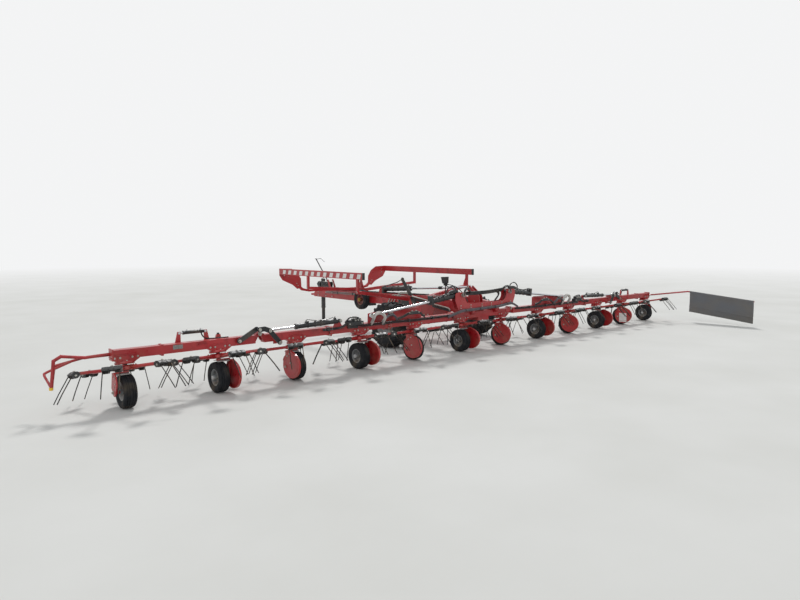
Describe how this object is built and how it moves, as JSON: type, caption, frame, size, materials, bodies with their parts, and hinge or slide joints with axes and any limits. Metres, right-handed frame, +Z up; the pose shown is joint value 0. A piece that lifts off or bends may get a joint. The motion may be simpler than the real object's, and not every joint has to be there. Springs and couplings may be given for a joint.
{
  "type": "trailed hay tedder",
  "caption": "Wide trailed hay tedder: folding rotor row with tined rotors on gauge wheels, tilting on a wheeled chassis with drawbar, side guards and a canvas deflector.",
  "frame": {"origin": "on the ground in the middle of the machine's outline at work", "axes": "+X to the right seen from behind, along the rotor row; +Y forward along the drawbar to the hitch; +Z up"},
  "size_m": [12.9617, 7.3715, 1.461],
  "materials": {
    "red_paint": "gloss red paint, dusty",
    "black_paint": "satin black paint",
    "rod_chrome": "polished rod",
    "tyre_rubber": "matt rubber",
    "canvas": "coated canvas"
  },
  "bodies": {
    "root": {"drawbar": "red_paint", "drawbar_fittings": "black_paint", "chassis": "red_paint", "guard_left": "red_paint", "guard_right": "red_paint", "spare_wheel": "tyre_rubber"},
    "jack": {"jack_leg": "black_paint"},
    "transport_wheel_left": {"transport_wheel_left": "tyre_rubber"},
    "transport_wheel_right": {"transport_wheel_right": "tyre_rubber"},
    "centre": {"centre_frame": "red_paint", "gauge_legs_centre": "red_paint"},
    "inner_left": {"inner_beam_left": "red_paint", "gauge_legs_inner_left": "red_paint"},
    "outer_left": {"outer_beam_left": "red_paint", "gauge_legs_outer_left": "red_paint", "end_cylinder_left": "black_paint"},
    "inner_right": {"inner_beam_right": "red_paint", "gauge_legs_inner_right": "red_paint"},
    "outer_right": {"outer_beam_right": "red_paint", "gauge_legs_outer_right": "red_paint", "end_cylinder_right": "black_paint", "canvas_deflector": "canvas"},
    "tilt_barrel": {"tilt_barrel": "black_paint"},
    "tilt_rod": {"tilt_rod": "rod_chrome"},
    "main_barrel_left": {"main_barrel_left": "black_paint"},
    "main_barrel_right": {"main_barrel_right": "black_paint"},
    "main_rod_left": {"main_rod_left": "rod_chrome"},
    "main_rod_right": {"main_rod_right": "rod_chrome"},
    "knee_barrel_left": {"knee_barrel_left": "black_paint"},
    "knee_barrel_right": {"knee_barrel_right": "black_paint"},
    "knee_rod_left": {"knee_rod_left": "rod_chrome"},
    "knee_rod_right": {"knee_rod_right": "rod_chrome"},
    "knee_link_inner_left": {"knee_link_inner_left": "black_paint"},
    "knee_link_inner_right": {"knee_link_inner_right": "black_paint"},
    "knee_link_outer_left": {"knee_link_outer_left": "black_paint"},
    "knee_link_outer_right": {"knee_link_outer_right": "black_paint"},
    "rotor_1": {"rotor_1": "red_paint"},
    "rotor_2": {"rotor_2": "red_paint"},
    "rotor_3": {"rotor_3": "red_paint"},
    "rotor_4": {"rotor_4": "red_paint"},
    "rotor_5": {"rotor_5": "red_paint"},
    "rotor_6": {"rotor_6": "red_paint"},
    "rotor_7": {"rotor_7": "red_paint"},
    "rotor_8": {"rotor_8": "red_paint"},
    "rotor_9": {"rotor_9": "red_paint"},
    "rotor_10": {"rotor_10": "red_paint"},
    "rotor_11": {"rotor_11": "red_paint"},
    "rotor_12": {"rotor_12": "red_paint"},
    "gauge_wheel_1": {"gauge_wheel_1": "tyre_rubber"},
    "gauge_wheel_2": {"gauge_wheel_2": "tyre_rubber"},
    "gauge_wheel_3": {"gauge_wheel_3": "tyre_rubber"},
    "gauge_wheel_4": {"gauge_wheel_4": "tyre_rubber"},
    "gauge_wheel_5": {"gauge_wheel_5": "tyre_rubber"},
    "gauge_wheel_6": {"gauge_wheel_6": "tyre_rubber"},
    "gauge_wheel_7": {"gauge_wheel_7": "tyre_rubber"},
    "gauge_wheel_8": {"gauge_wheel_8": "tyre_rubber"},
    "gauge_wheel_9": {"gauge_wheel_9": "tyre_rubber"},
    "gauge_wheel_10": {"gauge_wheel_10": "tyre_rubber"},
    "gauge_wheel_11": {"gauge_wheel_11": "tyre_rubber"},
    "gauge_wheel_12": {"gauge_wheel_12": "tyre_rubber"}
  },
  "joints": [
    {"name": "tilt", "type": "hinge", "parent": "root", "child": "centre", "pos_m": [0, -0.675, 0.8], "axis": [-1, 0, 0], "range_deg": [0, 90]},
    {"name": "fold_left", "type": "hinge", "parent": "centre", "child": "inner_left", "pos_m": [-0.74, -1.525, 0.64], "axis": [0, 1, 0], "range_deg": [0, 90]},
    {"name": "fold_right", "type": "hinge", "parent": "centre", "child": "inner_right", "pos_m": [0.74, -1.525, 0.64], "axis": [0, -1, 0], "range_deg": [0, 90]},
    {"name": "outer_fold_left", "type": "hinge", "parent": "inner_left", "child": "outer_left", "pos_m": [-4.22, -1.525, 0.66], "axis": [0, 1, 0], "range_deg": [0, 180]},
    {"name": "outer_fold_right", "type": "hinge", "parent": "inner_right", "child": "outer_right", "pos_m": [4.22, -1.525, 0.66], "axis": [0, -1, 0], "range_deg": [0, 180]},
    {"name": "jack_slide", "type": "slide", "parent": "root", "child": "jack", "axis": [0, 0, 1], "range_m": [0, 0.3]},
    {"name": "transport_spin_left", "type": "hinge", "parent": "root", "child": "transport_wheel_left", "pos_m": [-1.1, -0.425, 0.39], "axis": [1, 0, 0], "continuous": true},
    {"name": "transport_spin_right", "type": "hinge", "parent": "root", "child": "transport_wheel_right", "pos_m": [1.1, -0.425, 0.39], "axis": [1, 0, 0], "continuous": true},
    {"name": "gauge_spin_1", "type": "hinge", "parent": "outer_left", "child": "gauge_wheel_1", "pos_m": [-5.8025, -1.525, 0.185], "axis": [1, 0, 0], "continuous": true},
    {"name": "gauge_spin_2", "type": "hinge", "parent": "outer_left", "child": "gauge_wheel_2", "pos_m": [-4.7475, -1.525, 0.185], "axis": [1, 0, 0], "continuous": true},
    {"name": "gauge_spin_3", "type": "hinge", "parent": "inner_left", "child": "gauge_wheel_3", "pos_m": [-3.6925, -1.525, 0.185], "axis": [1, 0, 0], "continuous": true},
    {"name": "gauge_spin_4", "type": "hinge", "parent": "inner_left", "child": "gauge_wheel_4", "pos_m": [-2.6375, -1.525, 0.185], "axis": [1, 0, 0], "continuous": true},
    {"name": "gauge_spin_5", "type": "hinge", "parent": "inner_left", "child": "gauge_wheel_5", "pos_m": [-1.5825, -1.525, 0.185], "axis": [1, 0, 0], "continuous": true},
    {"name": "gauge_spin_6", "type": "hinge", "parent": "centre", "child": "gauge_wheel_6", "pos_m": [-0.5275, -1.525, 0.185], "axis": [1, 0, 0], "continuous": true},
    {"name": "gauge_spin_7", "type": "hinge", "parent": "centre", "child": "gauge_wheel_7", "pos_m": [0.5275, -1.525, 0.185], "axis": [1, 0, 0], "continuous": true},
    {"name": "gauge_spin_8", "type": "hinge", "parent": "inner_right", "child": "gauge_wheel_8", "pos_m": [1.5825, -1.525, 0.185], "axis": [1, 0, 0], "continuous": true},
    {"name": "gauge_spin_9", "type": "hinge", "parent": "inner_right", "child": "gauge_wheel_9", "pos_m": [2.6375, -1.525, 0.185], "axis": [1, 0, 0], "continuous": true},
    {"name": "gauge_spin_10", "type": "hinge", "parent": "inner_right", "child": "gauge_wheel_10", "pos_m": [3.6925, -1.525, 0.185], "axis": [1, 0, 0], "continuous": true},
    {"name": "gauge_spin_11", "type": "hinge", "parent": "outer_right", "child": "gauge_wheel_11", "pos_m": [4.7475, -1.525, 0.185], "axis": [1, 0, 0], "continuous": true},
    {"name": "gauge_spin_12", "type": "hinge", "parent": "outer_right", "child": "gauge_wheel_12", "pos_m": [5.8025, -1.525, 0.185], "axis": [1, 0, 0], "continuous": true},
    {"name": "rotor_spin_1", "type": "hinge", "parent": "outer_left", "child": "rotor_1", "pos_m": [-5.8025, -1.525, 0.44], "axis": [0, 0.2079, 0.9781], "continuous": true},
    {"name": "rotor_spin_2", "type": "hinge", "parent": "outer_left", "child": "rotor_2", "pos_m": [-4.7475, -1.525, 0.44], "axis": [0, 0.2079, 0.9781], "continuous": true},
    {"name": "rotor_spin_3", "type": "hinge", "parent": "inner_left", "child": "rotor_3", "pos_m": [-3.6925, -1.525, 0.44], "axis": [0, 0.2079, 0.9781], "continuous": true},
    {"name": "rotor_spin_4", "type": "hinge", "parent": "inner_left", "child": "rotor_4", "pos_m": [-2.6375, -1.525, 0.44], "axis": [0, 0.2079, 0.9781], "continuous": true},
    {"name": "rotor_spin_5", "type": "hinge", "parent": "inner_left", "child": "rotor_5", "pos_m": [-1.5825, -1.525, 0.44], "axis": [0, 0.2079, 0.9781], "continuous": true},
    {"name": "rotor_spin_6", "type": "hinge", "parent": "centre", "child": "rotor_6", "pos_m": [-0.5275, -1.525, 0.44], "axis": [0, 0.2079, 0.9781], "continuous": true},
    {"name": "rotor_spin_7", "type": "hinge", "parent": "centre", "child": "rotor_7", "pos_m": [0.5275, -1.525, 0.44], "axis": [0, 0.2079, 0.9781], "continuous": true},
    {"name": "rotor_spin_8", "type": "hinge", "parent": "inner_right", "child": "rotor_8", "pos_m": [1.5825, -1.525, 0.44], "axis": [0, 0.2079, 0.9781], "continuous": true},
    {"name": "rotor_spin_9", "type": "hinge", "parent": "inner_right", "child": "rotor_9", "pos_m": [2.6375, -1.525, 0.44], "axis": [0, 0.2079, 0.9781], "continuous": true},
    {"name": "rotor_spin_10", "type": "hinge", "parent": "inner_right", "child": "rotor_10", "pos_m": [3.6925, -1.525, 0.44], "axis": [0, 0.2079, 0.9781], "continuous": true},
    {"name": "rotor_spin_11", "type": "hinge", "parent": "outer_right", "child": "rotor_11", "pos_m": [4.7475, -1.525, 0.44], "axis": [0, 0.2079, 0.9781], "continuous": true},
    {"name": "rotor_spin_12", "type": "hinge", "parent": "outer_right", "child": "rotor_12", "pos_m": [5.8025, -1.525, 0.44], "axis": [0, 0.2079, 0.9781], "continuous": true},
    {"name": "tilt_barrel_turn", "type": "hinge", "parent": "root", "child": "tilt_barrel", "pos_m": [0, 1.095, 0.87], "axis": [-1, 0, 0], "range_deg": [-1, 20]},
    {"name": "tilt_rod_slide", "type": "slide", "parent": "tilt_barrel", "child": "tilt_rod", "axis": [0, -0.9977, 0.0676], "range_m": [-0.78, 0.001]},
    {"name": "main_barrel_turn_left", "type": "hinge", "parent": "centre", "child": "main_barrel_left", "pos_m": [-0.6, -1.58, 0.95], "axis": [0, 1, 0], "range_deg": [-1, 100]},
    {"name": "main_rod_slide_left", "type": "slide", "parent": "main_barrel_left", "child": "main_rod_left", "axis": [-0.9942, 0, -0.1075], "range_m": [-0.5, 0.001]},
    {"name": "main_barrel_turn_right", "type": "hinge", "parent": "centre", "child": "main_barrel_right", "pos_m": [0.6, -1.58, 0.95], "axis": [0, -1, 0], "range_deg": [-1, 100]},
    {"name": "main_rod_slide_right", "type": "slide", "parent": "main_barrel_right", "child": "main_rod_right", "axis": [0.9942, 0, -0.1075], "range_m": [-0.5, 0.001]},
    {"name": "knee_link_inner_turn_left", "type": "hinge", "parent": "inner_left", "child": "knee_link_inner_left", "pos_m": [-4, -1.679, 0.54], "axis": [0, 1, 0], "range_deg": [-1, 130]},
    {"name": "knee_link_outer_turn_left", "type": "hinge", "parent": "outer_left", "child": "knee_link_outer_left", "pos_m": [-4.51, -1.603, 0.6], "axis": [0, 1, 0], "range_deg": [-150, 1]},
    {"name": "knee_barrel_turn_left", "type": "hinge", "parent": "inner_left", "child": "knee_barrel_left", "pos_m": [-3.05, -1.63, 0.73], "axis": [0, 1, 0], "range_deg": [-15, 1]},
    {"name": "knee_rod_slide_left", "type": "slide", "parent": "knee_barrel_left", "child": "knee_rod_left", "axis": [-0.9996, 0, -0.0275], "range_m": [-0.34, 0.001]},
    {"name": "knee_link_inner_turn_right", "type": "hinge", "parent": "inner_right", "child": "knee_link_inner_right", "pos_m": [4, -1.679, 0.54], "axis": [0, -1, 0], "range_deg": [-1, 130]},
    {"name": "knee_link_outer_turn_right", "type": "hinge", "parent": "outer_right", "child": "knee_link_outer_right", "pos_m": [4.51, -1.603, 0.6], "axis": [0, -1, 0], "range_deg": [-150, 1]},
    {"name": "knee_barrel_turn_right", "type": "hinge", "parent": "inner_right", "child": "knee_barrel_right", "pos_m": [3.05, -1.63, 0.73], "axis": [0, -1, 0], "range_deg": [-15, 1]},
    {"name": "knee_rod_slide_right", "type": "slide", "parent": "knee_barrel_right", "child": "knee_rod_right", "axis": [0.9996, 0, -0.0275], "range_m": [-0.34, 0.001]}
  ],
  "couplings": [
    {"joint": "rotor_spin_1", "follows": "rotor_spin_6", "ratio": -1},
    {"joint": "rotor_spin_2", "follows": "rotor_spin_6", "ratio": 1},
    {"joint": "rotor_spin_3", "follows": "rotor_spin_6", "ratio": -1},
    {"joint": "rotor_spin_4", "follows": "rotor_spin_6", "ratio": 1},
    {"joint": "rotor_spin_5", "follows": "rotor_spin_6", "ratio": -1},
    {"joint": "rotor_spin_7", "follows": "rotor_spin_6", "ratio": -1},
    {"joint": "rotor_spin_8", "follows": "rotor_spin_6", "ratio": 1},
    {"joint": "rotor_spin_9", "follows": "rotor_spin_6", "ratio": -1},
    {"joint": "rotor_spin_10", "follows": "rotor_spin_6", "ratio": 1},
    {"joint": "rotor_spin_11", "follows": "rotor_spin_6", "ratio": -1},
    {"joint": "rotor_spin_12", "follows": "rotor_spin_6", "ratio": 1},
    {"joint": "tilt_barrel_turn", "follows": "tilt", "ratio": 0.16421},
    {"joint": "tilt_rod_slide", "follows": "tilt", "m_per_rad": -0.47109},
    {"joint": "main_barrel_turn_left", "follows": "fold_left", "ratio": 1.0549},
    {"joint": "main_rod_slide_left", "follows": "fold_left", "m_per_rad": -0.29314},
    {"joint": "main_barrel_turn_right", "follows": "fold_right", "ratio": 1.0549},
    {"joint": "main_rod_slide_right", "follows": "fold_right", "m_per_rad": -0.29314},
    {"joint": "knee_link_inner_turn_left", "follows": "outer_fold_left", "ratio": 0.7161},
    {"joint": "knee_link_outer_turn_left", "follows": "outer_fold_left", "ratio": -0.7449},
    {"joint": "knee_barrel_turn_left", "follows": "outer_fold_left", "ratio": -0.068051},
    {"joint": "knee_rod_slide_left", "follows": "outer_fold_left", "m_per_rad": -0.10531},
    {"joint": "knee_link_inner_turn_right", "follows": "outer_fold_right", "ratio": 0.7161},
    {"joint": "knee_link_outer_turn_right", "follows": "outer_fold_right", "ratio": -0.7449},
    {"joint": "knee_barrel_turn_right", "follows": "outer_fold_right", "ratio": -0.068051},
    {"joint": "knee_rod_slide_right", "follows": "outer_fold_right", "m_per_rad": -0.10531}
  ]
}
